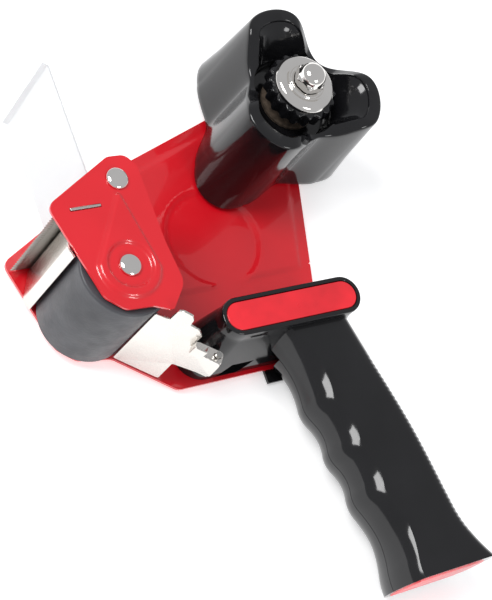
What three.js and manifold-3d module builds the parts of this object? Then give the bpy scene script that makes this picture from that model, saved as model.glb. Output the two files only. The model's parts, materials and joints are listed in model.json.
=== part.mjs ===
// Hand-held tape dispenser: a pistol grip carries a sheet-metal frame with a
// three-lobed tape hub, a rubber roller and a toothed cutter.
// The dispenser lies on its side. Millimetres, +Z up along the hub's axis, +Y away from the grip.
// Shapes are drawn round the hub's axis, and the whole group is then moved so that the
// origin is the middle of the object's box, on the surface it rests on.

import * as THREE from 'three';
import { mergeVertices } from 'three/addons/utils/BufferGeometryUtils.js';
import Module from 'manifold-3d';

const wasm = await Module();
wasm.setup();

// ---------------------------------------------------------------- driving dimensions

const GAP = 0.3;                 // clearance between pieces that touch
const TAPE_WIDTH = 50;
const SHEET = 1.4;               // thickness of the frame's sheet steel
const CHEEK_SHEET = 1.2;
const THIN_SHEET = 1.0;          // blade holder, guard and guide plate
const BLADE_SHEET = 0.6;

const FRAME_BOTTOM = 2.6;
const FRAME_TOP = FRAME_BOTTOM + SHEET;
const CHEEK_TOP = FRAME_TOP + TAPE_WIDTH + 4;
const CHEEK_BOTTOM = CHEEK_TOP - CHEEK_SHEET;
const MIDDLE = (FRAME_TOP + CHEEK_BOTTOM) / 2;

const CORNER_X = -137.6;         // front corner of both plates
const CORNER_Y = -37.4;
const ROLLER = { x: -112.1, y: -67.1, radius: 20.3, sleeve: 4.6, length: TAPE_WIDTH };
const TIE = { x: -104.5, y: -30.6, radius: 4 };
const RIVET = { neck: 2.5, hole: 2.8, head: 4.7, dome: 2.0 };

const FLANGE_Y = -40.5;          // middle plane of the blade holder's flange
const TAB = { x0: -128.6, x1: -115.4 };   // flange tabs that pass through both plates
const SMALL_RIVET = { shank: 1.3, head: 2.6, thick: 0.9 };
const RIVET_HOLE = SMALL_RIVET.shank + GAP;
const FLAP = { x: -114.9, top: 24.5, root: -38.5, hinge: -29, thick: 0.8, lip: 2.6 };

const GUIDE = { x: -105.8, y: -86.7, angle: -36.87, width: 21.5, arm: 38, pivot: 34 };

const BAR = { x0: -69.4, x1: -0.5, y0: -99.3, y1: -82.6, top: 40, footX: -77.5, footY: -104.5 };
const GRIP = { middle: 19, half: 15.5, top: -88, butt: -214, wall: 2.6 };

const HUB = {
  bottom: FRAME_TOP + 1.8, rim: 59, flank: 50, radius: 37.5, flare: 43.5, crown: 5,
  waist: 22.5, wall: 2.4, bore: 6.4, tube: 9, wellRadius: 19, wellFloor: 40,
};
const SPINDLE = { radius: 4, head: 13 };
const KNOB = { radius: 16.4, bottom: 48.6, top: 56.4 };

// ---------------------------------------------------------------- materials

function material(color, roughness, metalness, opacity = 1) {
  return new THREE.MeshStandardMaterial({
    color, roughness, metalness, opacity, transparent: opacity < 1,
  });
}

const redPaint = material(0xd3202c, 0.3, 0.1);
const nickel = material(0xe2dcd4, 0.28, 0.95);
const chrome = material(0xdedad4, 0.12, 1);
const bladeSteel = material(0x77746c, 0.35, 0.9);
const blackPlastic = material(0x1b1b1d, 0.22, 0);
const rollerRubber = material(0x4b4b4f, 0.6, 0);
const innerPlastic = material(0x141416, 0.4, 0);
const clearPlastic = material(0xf2f4f6, 0.15, 0, 0.35);
const redPlastic = material(0xe3222e, 0.35, 0);
const springSteel = material(0x8d8d8d, 0.35, 0.9);
const fibre = material(0x3a332c, 0.85, 0);

// ---------------------------------------------------------------- geometry helpers

const rad = THREE.MathUtils.degToRad;

// Signed volume of a closed geometry: negative when its faces point inwards.
function volumeOf(geometry) {
  const position = geometry.attributes.position;
  const index = geometry.index;
  const count = index ? index.count : position.count;
  const at = (i) => new THREE.Vector3().fromBufferAttribute(position, index ? index.getX(i) : i);
  let sum = 0;
  for (let i = 0; i < count; i += 3) {
    sum += at(i).dot(at(i + 1).cross(at(i + 2))) / 6;
  }
  return sum;
}

// Welded copy of a geometry with only positions and no empty faces, all pointing outwards.
function weld(geometry) {
  const bare = geometry.clone();
  bare.deleteAttribute('normal');
  bare.deleteAttribute('uv');
  const merged = mergeVertices(bare, 1e-4);
  const inwards = volumeOf(merged) < 0;
  const old = merged.index.array;
  const index = [];
  for (let i = 0; i < old.length; i += 3) {
    const [a, b, c] = [old[i], old[i + 1], old[i + 2]];
    if (a !== b && b !== c && c !== a) {
      index.push(...(inwards ? [b, a, c] : [a, b, c]));
    }
  }
  merged.setIndex(index);
  return merged;
}

function toSolid(geometry) {
  const merged = weld(geometry);
  const mesh = new wasm.Mesh({
    numProp: 3,
    vertProperties: new Float32Array(merged.attributes.position.array),
    triVerts: new Uint32Array(merged.index.array),
  });
  mesh.merge();
  return new wasm.Manifold(mesh);
}

function fromSolid(solid) {
  const mesh = solid.getMesh();
  const geometry = new THREE.BufferGeometry();
  geometry.setAttribute('position', new THREE.BufferAttribute(mesh.vertProperties, 3));
  geometry.setIndex(new THREE.BufferAttribute(mesh.triVerts, 1));
  return geometry;
}

// Base solid with some solids joined to it, and then others cut from it.
function combine(base, { add = [], cut = [], keep = null }) {
  let solid = toSolid(base);
  for (const piece of add) {
    solid = solid.add(toSolid(piece));
  }
  for (const piece of cut) {
    solid = solid.subtract(toSolid(piece));
  }
  if (keep) {
    solid = solid.intersect(toSolid(keep));
  }
  return fromSolid(solid);
}

// Closed outline through corner points [x, y, fillet radius], each corner rounded by an arc.
function rounded(corners, steps = 6) {
  const points = [];
  corners.forEach(([x, y, radius = 0], i) => {
    const corner = new THREE.Vector2(x, y);
    const before = corners[(i + corners.length - 1) % corners.length];
    const after = corners[(i + 1) % corners.length];
    const back = new THREE.Vector2(before[0] - x, before[1] - y);
    const ahead = new THREE.Vector2(after[0] - x, after[1] - y);
    if (radius === 0) {
      points.push(corner);
      return;
    }
    const half = Math.acos(back.clone().normalize().dot(ahead.clone().normalize())) / 2;
    const reach = Math.min(radius / Math.tan(half), back.length() * 0.49, ahead.length() * 0.49);
    const start = corner.clone().addScaledVector(back.normalize(), reach);
    const end = corner.clone().addScaledVector(ahead.normalize(), reach);
    for (let k = 0; k <= steps; k += 1) {
      const t = k / steps;
      const a = start.clone().multiplyScalar((1 - t) * (1 - t));
      const b = corner.clone().multiplyScalar(2 * t * (1 - t));
      points.push(a.add(b).addScaledVector(end, t * t));
    }
  });
  return points;
}

function circle(x, y, radius, steps = 20) {
  return Array.from({ length: steps }, (unused, i) => {
    const angle = -2 * Math.PI * i / steps;
    return new THREE.Vector2(x + radius * Math.cos(angle), y + radius * Math.sin(angle));
  });
}

// Flat plate between two heights, with round holes [x, y, radius] and slots [x0, y0, x1, y1].
function plate(points, z0, z1, holes = [], slots = []) {
  const outline = THREE.ShapeUtils.isClockWise(points) ? [...points].reverse() : points;
  const shape = new THREE.Shape(outline);
  for (const hole of holes) {
    shape.holes.push(new THREE.Path(circle(...hole)));
  }
  for (const [x0, y0, x1, y1] of slots) {
    shape.holes.push(new THREE.Path([[x0, y0], [x0, y1], [x1, y1], [x1, y0]]
      .map(([x, y]) => new THREE.Vector2(x, y))));
  }
  const geometry = new THREE.ExtrudeGeometry(shape, {
    depth: z1 - z0, bevelEnabled: false,
  });
  return geometry.translate(0, 0, z0);
}

// Solid of revolution about +Z from [radius, z] points.
function turned(profile, segments = 28, x = 0, y = 0) {
  const points = profile.map(([r, z]) => new THREE.Vector2(r, z));
  return new THREE.LatheGeometry(points, segments).rotateX(Math.PI / 2).scale(1, -1, 1)
    .translate(x, y, 0);
}

function rod(x, y, z0, z1, radius, segments = 20) {
  return turned([[0, z0], [radius, z0], [radius, z1], [0, z1]], segments, x, y);
}

function ring(x, y, z0, z1, inner, outer, segments = 28) {
  const profile = [[inner, z0], [outer, z0], [outer, z1], [inner, z1], [inner, z0]];
  return turned(profile, segments, x, y);
}

// Short pin along Y, for the rivets through the flange.
function rodY(x, z, y0, y1, radius, segments = 12) {
  const geometry = new THREE.CylinderGeometry(radius, radius, y1 - y0, segments);
  return geometry.translate(x, (y0 + y1) / 2, z);
}

function rodX(y, z, x0, x1, radius, segments = 12) {
  const geometry = new THREE.CylinderGeometry(radius, radius, x1 - x0, segments);
  return geometry.rotateZ(Math.PI / 2).translate((x0 + x1) / 2, y, z);
}

function block(x0, x1, y0, y1, z0, z1) {
  const geometry = new THREE.BoxGeometry(x1 - x0, y1 - y0, z1 - z0);
  return geometry.translate((x0 + x1) / 2, (y0 + y1) / 2, (z0 + z1) / 2);
}

// Closed solid through rings of points with equal counts, its ends closed by fans.
function loft(rings) {
  const count = rings[0].length;
  const positions = rings.flat().flatMap((p) => [p.x, p.y, p.z]);
  const index = [];
  for (let k = 0; k + 1 < rings.length; k += 1) {
    for (let i = 0; i < count; i += 1) {
      const a = k * count + i;
      const b = k * count + (i + 1) % count;
      index.push(a, b, b + count, a, b + count, a + count);
    }
  }
  const fan = (ringPoints, first, reverse) => {
    const centre = ringPoints.reduce((s, p) => s.add(p), new THREE.Vector3())
      .divideScalar(count);
    const apex = positions.length / 3;
    positions.push(centre.x, centre.y, centre.z);
    for (let i = 0; i < count; i += 1) {
      const a = first + i;
      const b = first + (i + 1) % count;
      index.push(...(reverse ? [b, a, apex] : [a, b, apex]));
    }
  };
  fan(rings[0], 0, true);
  fan(rings[rings.length - 1], (rings.length - 1) * count, false);
  const geometry = new THREE.BufferGeometry();
  geometry.setAttribute('position', new THREE.Float32BufferAttribute(positions, 3));
  geometry.setIndex(index);
  return geometry;
}

// Sheet of one thickness whose middle line runs through [x, y] points, between two heights.
function bentSheet(line, thickness, z0, z1) {
  const points = line.map(([x, y]) => new THREE.Vector2(x, y));
  const side = (sign) => points.map((point, i) => {
    const before = points[Math.max(i - 1, 0)];
    const after = points[Math.min(i + 1, points.length - 1)];
    const first = point.clone().sub(before).normalize();
    const second = after.clone().sub(point).normalize();
    const along = first.clone().add(second).normalize();
    const reference = i === 0 ? second : first;
    const normal = new THREE.Vector2(-along.y, along.x);
    const stretch = 1 / Math.max(Math.abs(along.dot(reference)), 0.5);
    return point.clone().addScaledVector(normal, sign * stretch * thickness / 2);
  });
  return plate([...side(1), ...side(-1).reverse()], z0, z1);
}

const model = new THREE.Group();

function place(name, geometry, surface) {
  const mesh = new THREE.Mesh(weld(geometry), surface);
  mesh.name = name;
  model.add(mesh);
}

// ---------------------------------------------------------------- frame and cheek plates

// The corner by the cutter, which both plates share, with its radius.
const frontCorner = [CORNER_X, CORNER_Y, 5];

const frameOutline = rounded([
  [-80, -106.3, 6], [-104.5, -87, 6], [-120, -84.6, 6], [-127.3, -78, 5],
  frontCorner, [-66, -1.4, 20], [31, 30, 10], [-5.5, -106.3, 6],
]);

const cheekOutline = rounded([
  [-100.4, -88.4, 2], [-108, -85.2, 8], [-120, -84.6, 6], [-127.3, -78, 5],
  frontCorner, [-105.5, -20.6, 5], [-97.5, -20.8, 5], [-93.7, -26, 4], [-93.4, -60],
  [-91.6, -78, 8],
]);

const barScrews = [[-58, -94], [-14, -94]];
const rivetHoles = [
  [TIE.x, TIE.y, RIVET.hole], [ROLLER.x, ROLLER.y, RIVET.hole],
];
const tabSlot = [
  TAB.x0 - GAP, FLANGE_Y - THIN_SHEET / 2 - GAP, TAB.x1 + GAP, FLANGE_Y + THIN_SHEET / 2 + GAP,
];

place('frame_plate', plate(frameOutline, FRAME_BOTTOM, FRAME_TOP, [
  ...rivetHoles, [0, 0, SPINDLE.radius + GAP],
  ...barScrews.map(([x, y]) => [x, y, 2.4]),
], [tabSlot]), redPaint);

place('cheek_plate', plate(cheekOutline, CHEEK_BOTTOM, CHEEK_TOP, rivetHoles, [tabSlot]), redPaint);

// ---------------------------------------------------------------- tie rod and roller

// Rod between the plates with a reduced neck through each and a domed head on both ends.
function rivetedRod(x, y, radius) {
  const { neck, head, dome } = RIVET;
  const low = FRAME_BOTTOM - GAP;
  const high = CHEEK_TOP + GAP;
  return turned([
    [0, low - dome], [head * 0.6, low - dome * 0.85], [head * 0.9, low - dome * 0.45],
    [head, low], [neck, low], [neck, FRAME_TOP + GAP], [radius, FRAME_TOP + GAP],
    [radius, CHEEK_BOTTOM - GAP], [neck, CHEEK_BOTTOM - GAP], [neck, high], [head, high],
    [head * 0.9, high + dome * 0.45], [head * 0.6, high + dome * 0.85], [0, high + dome],
  ], 24, x, y);
}

const rollerBottom = MIDDLE - ROLLER.length / 2;
const rollerTop = MIDDLE + ROLLER.length / 2;
const coreRadius = ROLLER.radius - ROLLER.sleeve;

place('tie_rod', rivetedRod(TIE.x, TIE.y, TIE.radius), nickel);
place('roller_axle', rivetedRod(ROLLER.x, ROLLER.y, TIE.radius), nickel);

place('roller_core', turned([
  [TIE.radius + GAP, rollerBottom - 0.6], [TIE.radius + 3, rollerBottom - 0.6],
  [TIE.radius + 3, rollerBottom + 3], [coreRadius - 2, rollerBottom + 3],
  [coreRadius - 2, rollerBottom + 0.6], [coreRadius - GAP, rollerBottom + 0.6],
  [coreRadius - GAP, rollerTop - 0.6], [coreRadius - 2, rollerTop - 0.6],
  [coreRadius - 2, rollerTop - 3], [TIE.radius + 3, rollerTop - 3],
  [TIE.radius + 3, rollerTop + 0.6], [TIE.radius + GAP, rollerTop + 0.6],
  [TIE.radius + GAP, rollerBottom - 0.6],
], 32, ROLLER.x, ROLLER.y), innerPlastic);

place('roller_sleeve', turned([
  [coreRadius, rollerBottom], [ROLLER.radius - 0.8, rollerBottom],
  [ROLLER.radius, rollerBottom + 0.8], [ROLLER.radius, rollerTop - 0.8],
  [ROLLER.radius - 0.8, rollerTop], [coreRadius, rollerTop], [coreRadius, rollerBottom],
], 40, ROLLER.x, ROLLER.y), rollerRubber);

// ---------------------------------------------------------------- cutter

const betweenLow = FRAME_TOP + GAP;
const betweenHigh = CHEEK_BOTTOM - GAP;
const flangeBottom = FLANGE_Y - THIN_SHEET / 2;
const bladeTop = flangeBottom - GAP;
const bladeBottom = bladeTop - BLADE_SHEET;
const guardLine = bladeBottom - GAP - THIN_SHEET / 2;
const bladeRivets = [-17, 0, 17].map((offset) => MIDDLE + offset);
const bladeRivetX = -120.5;
const rivetCuts = bladeRivets.map((z) => rodY(bladeRivetX, z, -46, -36, RIVET_HOLE));
const flapRivets = [-14, 14].map((offset) => MIDDLE + offset);
const flapRivetY = -34;
const upright = { x: -113.6, bottom: FLANGE_Y, top: -28 };

// Bent strip under the blade: a flange, an upright for the flap, and a tab through each plate.
place('blade_holder', combine(
  bentSheet([[-132, FLANGE_Y], [upright.x, upright.bottom], [upright.x, upright.top]],
    THIN_SHEET, betweenLow, betweenHigh),
  {
    add: [block(TAB.x0, TAB.x1, flangeBottom, FLANGE_Y + THIN_SHEET / 2,
      FRAME_BOTTOM, CHEEK_TOP + 0.3)],
    cut: [...rivetCuts, ...flapRivets.map((z) => rodX(flapRivetY, z, -116, -111, RIVET_HOLE))],
  },
), nickel);

// Toothed strip: each tooth is a triangle along the front edge. It is drawn in X and Z, and
// then turned so that the drawing's second axis is the object's +Z.
function bladeGeometry() {
  const teeth = 24;
  const low = betweenLow + 0.7;
  const high = betweenHigh - 0.7;
  const pitch = (high - low) / teeth;
  const tip = -136.2;
  const root = -133.4;
  const points = [new THREE.Vector2(-117, low), new THREE.Vector2(root, low)];
  for (let i = 0; i < teeth; i += 1) {
    points.push(new THREE.Vector2(tip, low + (i + 0.5) * pitch));
    points.push(new THREE.Vector2(root, low + (i + 1) * pitch));
  }
  points.push(new THREE.Vector2(-117, high));
  const strip = new THREE.ExtrudeGeometry(new THREE.Shape(points), {
    depth: BLADE_SHEET, bevelEnabled: false,
  });
  return strip.rotateX(Math.PI / 2).translate(0, bladeTop, 0);
}

place('cutter_blade', combine(bladeGeometry(), { cut: rivetCuts }), bladeSteel);

place('front_guard', combine(
  bentSheet([[-117, guardLine], [-127.5, guardLine], [-134.2, -55.2], [-132.9, -59.4]],
    THIN_SHEET, betweenLow, betweenHigh),
  { cut: rivetCuts },
), nickel);

// Rivet with a flat head on both ends, made by one of the two pin functions above.
function smallRivet(pin, across, z, start, end) {
  const { shank, head, thick } = SMALL_RIVET;
  return combine(pin(across, z, start, end, shank), {
    add: [pin(across, z, end, end + thick, head), pin(across, z, start - thick, start, head)],
  });
}

bladeRivets.forEach((z, i) => {
  const top = FLANGE_Y + THIN_SHEET / 2 + GAP;
  const bottom = guardLine - THIN_SHEET / 2 - GAP;
  place(`blade_rivet_${i + 1}`, smallRivet(rodY, bladeRivetX, z, bottom, top), nickel);
});

// ---------------------------------------------------------------- tape flap

const flapLow = MIDDLE - TAPE_WIDTH / 2;
const flapHigh = MIDDLE + TAPE_WIDTH / 2;
const clampX = FLAP.x - FLAP.thick / 2 - GAP - THIN_SHEET / 2;
const flapHoles = flapRivets.map((z) => rodX(flapRivetY, z, -118, -112, RIVET_HOLE));

place('flap_root', combine(
  block(FLAP.x - FLAP.thick / 2, FLAP.x + FLAP.thick / 2, FLAP.root, FLAP.hinge - GAP / 2,
    flapLow, flapHigh),
  { cut: flapHoles },
), clearPlastic);

place('tape_flap', bentSheet([
  [FLAP.x, FLAP.hinge + GAP / 2], [FLAP.x, FLAP.top - 1.2], [FLAP.x - FLAP.lip, FLAP.top],
], FLAP.thick, flapLow, flapHigh), clearPlastic);

place('flap_clamp', combine(
  block(clampX - THIN_SHEET / 2, clampX + THIN_SHEET / 2, -38.2, -30, flapLow, flapHigh),
  { cut: flapHoles },
), nickel);

flapRivets.forEach((z, i) => {
  const left = clampX - THIN_SHEET / 2 - GAP;
  const right = upright.x + THIN_SHEET / 2 + GAP;
  place(`flap_rivet_${i + 1}`, smallRivet(rodX, flapRivetY, z, left, right), nickel);
});

// ---------------------------------------------------------------- guide plate under the roller

// Drawn flat as [distance along the slope, height], then stood on its slope.
function guidePlateGeometry() {
  const low = FRAME_TOP + 2.2;
  const high = FRAME_TOP + 48.6;
  const outline = [
    [0, low], [GUIDE.width, low], [GUIDE.width, 22.4], [GUIDE.arm, 22.4], [GUIDE.arm, 37.6],
    [26, 37.6], [GUIDE.width, 42], [GUIDE.width, 52], [18.5, 55.4], [14, 55.6], [14, 63.5],
    [6.2, 63.5], [6.2, high + 4.6], [0, high + 4.6],
  ];
  const shape = new THREE.Shape(outline.map(([s, z]) => new THREE.Vector2(s, z)));
  const sheet = new THREE.ExtrudeGeometry(shape, { depth: THIN_SHEET, bevelEnabled: false })
    .rotateX(Math.PI / 2).translate(0, THIN_SHEET / 2, 0);
  const flange = (z) => block(24, GUIDE.arm, 0, 5.5, z, z + THIN_SHEET);
  return combine(sheet, {
    add: [flange(22.4), flange(37.6 - THIN_SHEET)],
    cut: [rod(GUIDE.pivot, 3, 20, 40, 1.8, 16)],
  });
}

// Moves a piece drawn along the guide's slope to its place under the roller.
function onGuide(geometry) {
  return geometry.rotateZ(rad(GUIDE.angle)).translate(GUIDE.x, GUIDE.y, 0);
}

place('guide_plate', onGuide(guidePlateGeometry()), nickel);
place('guide_pin', onGuide(rod(GUIDE.pivot, 3, 20.6, 39.4, 1.4, 16)), springSteel);
place('guide_spring', onGuide(ring(GUIDE.pivot, 3, 26.5, 33.5, 1.7, 2.2, 20)), springSteel);

// ---------------------------------------------------------------- handle

function stadium(x0, x1, y0, y1, z, inset = 0, steps = 8) {
  const radius = (y1 - y0) / 2 - inset;
  const middle = (y0 + y1) / 2;
  const points = [];
  for (const [centre, start] of [[x1 - inset - radius, -90], [x0 + inset + radius, 90]]) {
    for (let k = 0; k <= steps; k += 1) {
      const angle = rad(start + 180 * k / steps);
      const x = centre + radius * Math.cos(angle);
      points.push(new THREE.Vector3(x, middle + radius * Math.sin(angle), z));
    }
  }
  return points;
}

// Grip outline at one distance down the grip: its front, its back and its half thickness.
const ridges = [-107, -132, -154, -176, -207];

function gripSection(y) {
  const lean = (GRIP.top - y) / (GRIP.top - GRIP.butt);
  const flare = Math.max(0, (-190 - y) / 24);
  const neck = Math.max(0, (y + 112) / 20);
  let front = -40.6 + 17.6 * lean - 1.6 * flare - 3.5 * neck ** 2;
  for (let i = 0; i + 1 < ridges.length; i += 1) {
    if (y <= ridges[i] && y >= ridges[i + 1]) {
      const t = (ridges[i] - y) / (ridges[i] - ridges[i + 1]);
      front += 3.0 * Math.sin(Math.PI * t) ** 2;
    }
  }
  const back = -6.2 + 22.5 * lean ** 0.9 + 6 * flare ** 2 + 2 * neck ** 2;
  const half = GRIP.half - 1.2 * Math.sin(Math.PI * lean) + 0.8 * flare;
  return { front, back, half };
}

function gripRing(y, inset, count = 24) {
  const { front, back, half } = gripSection(y);
  const middle = (front + back) / 2;
  const depth = (back - front) / 2 - inset;
  const thickness = half - inset;
  const points = [];
  for (let i = 0; i < count; i += 1) {
    const angle = 2 * Math.PI * i / count;
    const c = Math.cos(angle);
    const s = Math.sin(angle);
    const x = middle + depth * Math.sign(c) * Math.abs(c) ** 0.86;
    const z = GRIP.middle + thickness * Math.sign(s) * Math.abs(s) ** 0.86;
    points.push(new THREE.Vector3(x, y, z));
  }
  return points;
}

function gripLoft(from, to, inset, steps) {
  const rings = [];
  for (let k = 0; k <= steps; k += 1) {
    rings.push(gripRing(from + (to - from) * k / steps, inset));
  }
  return loft(rings);
}

const gripOuter = gripLoft(GRIP.top, GRIP.butt, 0, 42);
const gripInner = gripLoft(GRIP.top - 22, GRIP.butt - 2, GRIP.wall, 14);
const reach = 300;
const aboveMiddle = block(-reach, reach, -reach, reach, GRIP.middle + GAP / 2, reach);
const belowMiddle = block(-reach, reach, -reach, reach, -reach, GRIP.middle - GAP / 2);

const barOuter = loft([
  stadium(BAR.footX, 0.6, BAR.footY, -81.6, FRAME_TOP + GAP),
  stadium(-73.6, 0.2, -102.2, -82, 21),
  stadium(BAR.x0, BAR.x1, BAR.y0, BAR.y1, 36),
  stadium(BAR.x0, BAR.x1, BAR.y0, BAR.y1, BAR.top - 1),
  stadium(BAR.x0, BAR.x1, BAR.y0, BAR.y1, BAR.top, 0.9),
]);
const barInner = loft([
  stadium(-74, -3, -101, -85, FRAME_TOP - 1),
  stadium(BAR.x0, BAR.x1, BAR.y0, BAR.y1, 33, 3),
]);
const panelRecess = loft([
  stadium(BAR.x0, BAR.x1, BAR.y0, BAR.y1, BAR.top - 1.6, 1.9),
  stadium(BAR.x0, BAR.x1, BAR.y0, BAR.y1, BAR.top + 1, 1.9),
]);

const gripScrews = [[-19, -124], [-13, -150], [-6, -192]];
const screwHole = 1.8;

// Near half: the bar with the panel on its face, and the near half of the grip.
const nearShell = toSolid(barOuter)
  .add(toSolid(gripOuter).intersect(toSolid(aboveMiddle)))
  .subtract(toSolid(barInner))
  .subtract(toSolid(panelRecess))
  .subtract(toSolid(gripInner).intersect(toSolid(aboveMiddle)));
const nearBosses = [
  ...gripScrews.map(([x, y]) => rod(x, y, GRIP.middle + GAP / 2, 32, 3.8)),
  ...barScrews.map(([x, y]) => rod(x, y, FRAME_TOP + GAP, 35, 4)),
];
const nearHoles = [
  ...gripScrews.map(([x, y]) => rod(x, y, GRIP.middle - 1, 28, screwHole)),
  ...barScrews.map(([x, y]) => rod(x, y, FRAME_TOP - 1, 26, 2.3)),
];
const guideSlot = block(-86, -68, -112, -97, 20, 40);
place('near_handle_shell', combine(fromSolid(nearShell), {
  add: nearBosses, cut: [...nearHoles, guideSlot],
}), blackPlastic);

// Far half: the grip's other half, joined to a flat pad that clamps the plate from outside.
const padTop = FRAME_BOTTOM - GAP;
const padEdge = [-73, -2, -104, -83];
const pad = loft([
  stadium(...padEdge, 0, 0.8), stadium(...padEdge, 0.8), stadium(...padEdge, padTop),
]);
const neckTop = -107.4;
const neck = [
  block(-37, -8, -118, -98, 0.8, padTop), block(-36, -9, -118, neckTop, 0.8, GRIP.middle - 6),
];
const farGrip = combine(gripOuter, {
  cut: [block(-100, 60, neckTop, 0, padTop, 60)], keep: belowMiddle,
});
const farInner = fromSolid(toSolid(gripInner).intersect(toSolid(belowMiddle)));
const screwHead = 3;
const gripScrewFloor = 7.5;
const farPosts = gripScrews.map(([x, y]) => rod(x, y, 5, GRIP.middle - GAP / 2, 4.6));
const farHoles = [
  ...gripScrews.map(([x, y]) => rod(x, y, -1, gripScrewFloor, screwHead + GAP)),
  ...gripScrews.map(([x, y]) => rod(x, y, -1, GRIP.middle + 1, screwHole)),
  ...barScrews.map(([x, y]) => rod(x, y, -1, 1.5, screwHead + GAP)),
  ...barScrews.map(([x, y]) => rod(x, y, -1, 4, screwHole)),
];
place('far_handle_shell', combine(combine(farGrip, { add: [pad, ...neck], cut: [farInner] }), {
  add: farPosts, cut: farHoles,
}), blackPlastic);

// Pan-head screw pointing up, with a cross recess in its head.
function screw(x, y, headBottom, headTop, tip) {
  const body = turned([
    [0, headBottom], [screwHead - 0.5, headBottom], [screwHead, headBottom + 0.5],
    [screwHead, headTop], [1.5, headTop], [1.5, tip - 1], [0.6, tip], [0, tip],
  ], 20, x, y);
  return combine(body, {
    cut: [
      block(x - 1.8, x + 1.8, y - 0.4, y + 0.4, headBottom - 1, headBottom + 0.7),
      block(x - 0.4, x + 0.4, y - 1.8, y + 1.8, headBottom - 1, headBottom + 0.7),
    ],
  });
}

gripScrews.forEach(([x, y], i) => {
  place(`grip_screw_${i + 1}`,
    screw(x, y, gripScrewFloor - 2.2, gripScrewFloor - GAP, 26), nickel);
});
barScrews.forEach(([x, y], i) => {
  place(`bar_screw_${i + 1}`, screw(x, y, 0.2, 1.5 - GAP, 22), nickel);
});

place('inlay_panel', loft([
  stadium(BAR.x0, BAR.x1, BAR.y0, BAR.y1, BAR.top - 1.6 + GAP, 2.2),
  stadium(BAR.x0, BAR.x1, BAR.y0, BAR.y1, BAR.top - 0.4, 2.2),
  stadium(BAR.x0, BAR.x1, BAR.y0, BAR.y1, BAR.top - 0.2, 2.6),
]), redPlastic);

// Plug that closes the open end of the grip.
const plugInset = GRIP.wall + 0.8;
place('base_insert', loft([
  gripRing(GRIP.butt + 9, plugInset), gripRing(GRIP.butt + 0.4, plugInset),
  gripRing(GRIP.butt + 0.4, plugInset + 1.2).map((p) => p.clone().setY(GRIP.butt - 0.6)),
]), redPlastic);

// ---------------------------------------------------------------- tape hub

const lobeAngles = [97, 217, 337];
const lobeHalf = 20;

// One ring of the hub: three round lobes with hollow flanks between them. The rim is higher
// on the lobes than on the flanks when lift is above 0, and a lobe's corners are lower than
// its middle by its crown.
function hubRing(z, radius, waist, { lift = 0, inset = 0, crown = 1.2 } = {}) {
  const points = [];
  const arc = 5;
  const flank = 8;
  const rise = (r) => z + lift * Math.max(0, Math.min(1, (r - 24) / 12));
  const add = (r, degrees) => {
    const angle = rad(degrees);
    points.push(new THREE.Vector3(r * Math.cos(angle), r * Math.sin(angle), rise(r)));
  };
  for (const centre of lobeAngles) {
    for (let k = 0; k <= arc; k += 1) {
      const t = 2 * k / arc - 1;
      add(radius - inset - crown * t ** 2, centre + t * (lobeHalf - inset * 1.2));
    }
    for (let k = 1; k < flank; k += 1) {
      const t = 2 * k / flank - 1;
      const r = waist - inset + (radius - crown - waist) * Math.abs(t) ** 1.7;
      add(r, centre + 60 + t * (40 + inset * 1.2));
    }
  }
  return points;
}

const lift = HUB.rim - HUB.flank;
const hubOuter = loft([
  hubRing(HUB.bottom, HUB.flare, HUB.waist + 1, { crown: HUB.crown }),
  hubRing(HUB.flank - 1, HUB.radius, HUB.waist, { lift }),
  hubRing(HUB.flank, HUB.radius, HUB.waist, { lift, inset: 0.8 }),
  hubRing(HUB.flank - 4, HUB.wellRadius + 3, HUB.wellRadius + 2.9, { crown: 0 }),
]);
const hubInner = loft([
  hubRing(HUB.bottom - 2, HUB.flare - HUB.wall, HUB.waist - HUB.wall, { crown: HUB.crown }),
  hubRing(HUB.wellFloor - 6, HUB.radius - HUB.wall, HUB.waist - HUB.wall),
]);
const hubHollow = combine(hubInner, {
  cut: [rod(0, 0, 0, 60, HUB.tube)],
});
place('tape_hub', combine(hubOuter, {
  cut: [
    hubHollow,
    rod(0, 0, HUB.wellFloor, 70, HUB.wellRadius, 36),
    rod(0, 0, 0, 70, HUB.bore + GAP),
  ],
}), blackPlastic);

place('hub_bush', turned([
  [SPINDLE.radius + GAP, HUB.bottom], [HUB.bore, HUB.bottom], [HUB.bore, HUB.wellFloor],
  [SPINDLE.radius + GAP, HUB.wellFloor], [SPINDLE.radius + GAP, HUB.bottom],
], 24), innerPlastic);

// ---------------------------------------------------------------- spindle and brake

const hexHead = (z0, z1, acrossFlats) => {
  const corner = acrossFlats / 2 / Math.cos(Math.PI / 6);
  return turned([[0, z0], [corner, z0], [corner, z1], [0, z1]], 6);
};

const nearDiscTop = HUB.wellFloor + GAP + 1.2;
const springTop = KNOB.bottom - GAP - 1.6 - GAP;
const nutBase = 60.6;

// The nut comes down with the pressure washer, so the bolt ends below the nut's blind hole.
place('spindle_bolt', combine(hexHead(0, FRAME_BOTTOM - GAP, SPINDLE.head), {
  add: [rod(0, 0, 1, nutBase + 3.3, SPINDLE.radius)],
}), springSteel);
place('brake_disc_far', ring(0, 0, FRAME_TOP + GAP, HUB.bottom - GAP, 4.6, 15), fibre);
place('brake_disc_near', ring(0, 0, HUB.wellFloor + GAP, nearDiscTop, 4.6, 13), fibre);
place('brake_spring', ring(0, 0, nearDiscTop + GAP, springTop, 5.2, 7.6), springSteel);
place('pressure_washer', ring(0, 0, springTop + GAP, KNOB.bottom - GAP, 4.3, 12), nickel);

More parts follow.
